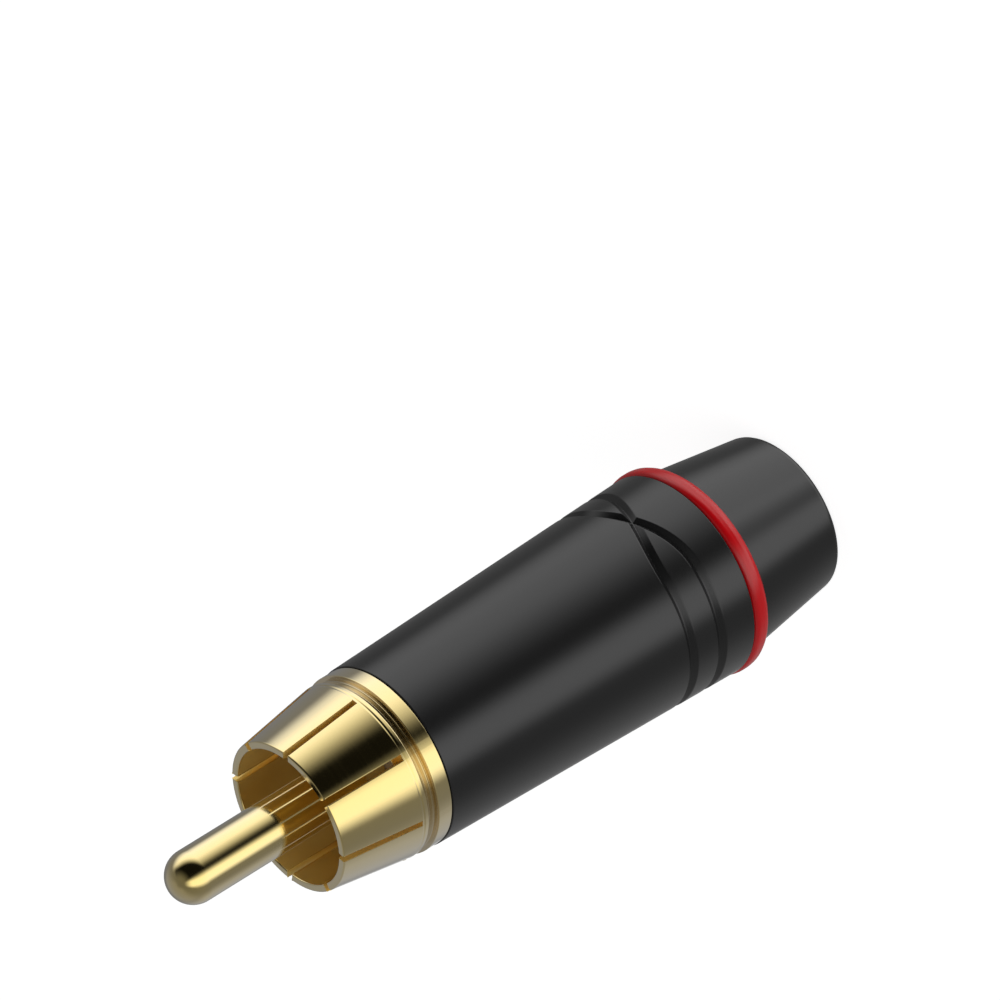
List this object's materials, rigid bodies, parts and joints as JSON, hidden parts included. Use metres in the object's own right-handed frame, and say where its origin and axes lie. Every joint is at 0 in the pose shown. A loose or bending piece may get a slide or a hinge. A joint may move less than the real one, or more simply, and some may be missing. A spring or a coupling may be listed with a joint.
{
  "type": "rca plug",
  "caption": "Slender cable-mount audio plug with a gold slotted ground sleeve and centre pin, a black tapered barrel, a red coding ring and a cable boot.",
  "frame": {"origin": "centre of the boot's tail face, which the plug stands on", "axes": "+Z along the plug's axis from the tail to the tip of the pin; -Y faces the side where the barrel's two grooves cross"},
  "size_m": [0.013, 0.013, 0.0459],
  "materials": {
    "gold_plate": "polished gold plate",
    "black_metal": "satin black coat",
    "red_plastic": "soft sheen",
    "black_plastic": "satin",
    "insulator_plastic": "moulded",
    "chuck_plastic": "moulded"
  },
  "bodies": {
    "boot": {"boot": "black_plastic", "colour_ring": "red_plastic", "cable_chuck": "chuck_plastic"},
    "barrel": {"barrel": "black_metal"},
    "contacts": {"contact_sleeve": "gold_plate", "centre_pin": "gold_plate", "pin_insulator": "insulator_plastic", "ground_lug": "gold_plate"}
  },
  "joints": [
    {"name": "barrel_off_boot", "type": "slide", "parent": "boot", "child": "barrel", "axis": [0, 0, 1], "range_m": [0, 0.0075]},
    {"name": "contacts_off_barrel", "type": "slide", "parent": "barrel", "child": "contacts", "axis": [0, 0, 1], "range_m": [0, 0.0125]}
  ]
}
